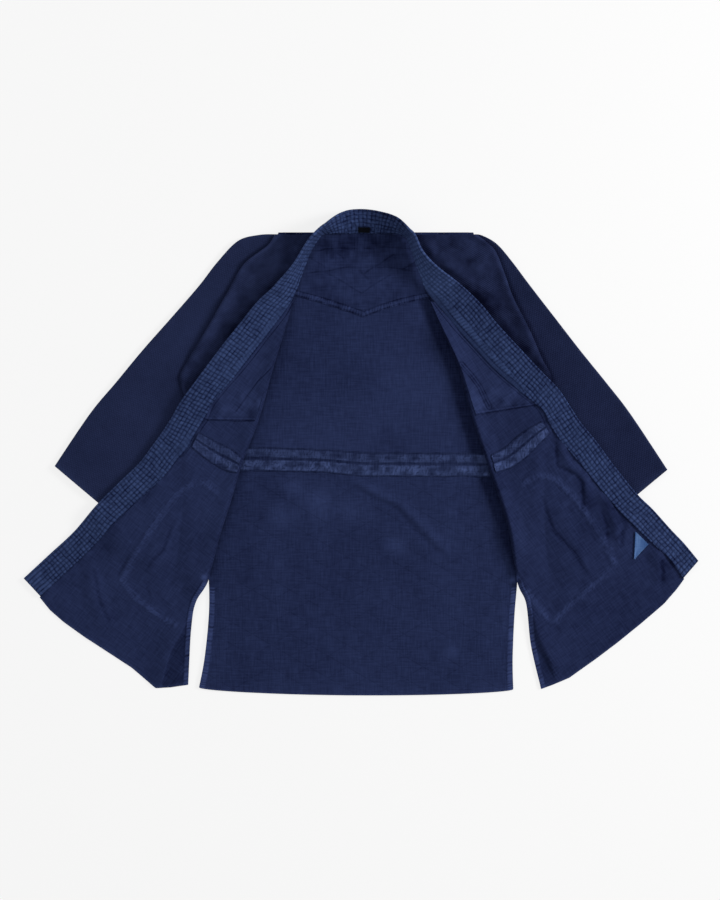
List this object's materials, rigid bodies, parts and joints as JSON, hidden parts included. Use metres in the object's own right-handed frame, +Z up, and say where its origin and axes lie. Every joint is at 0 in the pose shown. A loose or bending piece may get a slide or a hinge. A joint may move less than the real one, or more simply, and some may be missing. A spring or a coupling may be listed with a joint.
{
  "type": "kendo jacket",
  "caption": "Indigo cotton kendo jacket laid flat and open, fronts folded out, with a quilted collar, short straight sleeves, side slits and diamond quilted skirt.",
  "frame": {"origin": "on the surface that the jacket lies on, below the middle of its outline", "axes": "+X to the sleeve at the right as seen from above, +Y to the neck, +Z up from the surface"},
  "size_m": [1.112, 0.802, 0.0472],
  "materials": {
    "inner_cloth": "matte plain-weave cotton, faded indigo",
    "rice_weave": "matte rice-grain cotton, dark indigo",
    "quilted_collar": "stitched quilted cotton, worn lighter on its raised cells",
    "waist_tape": "puckered cotton tape",
    "tie_cloth": "light blue cotton",
    "tag_ribbon": "black woven ribbon, no text"
  },
  "bodies": {
    "root": {"back_body": "inner_cloth", "back_skirt": "inner_cloth", "back_yoke": "inner_cloth", "front_body_left": "inner_cloth", "front_body_right": "inner_cloth", "front_skirt_left": "inner_cloth", "front_skirt_right": "inner_cloth", "front_lining_left": "inner_cloth", "front_lining_right": "inner_cloth", "front_shoulder_left": "rice_weave", "front_shoulder_right": "rice_weave", "sleeve_left": "rice_weave", "sleeve_right": "rice_weave", "pocket_left": "rice_weave", "pocket_right": "rice_weave", "collar_left": "quilted_collar", "collar_neck": "quilted_collar", "collar_right": "quilted_collar", "waist_tape_back": "waist_tape", "waist_tape_left": "waist_tape", "waist_tape_right": "waist_tape", "tie_tab": "tie_cloth", "neck_tag": "tag_ribbon"}
  },
  "joints": []
}
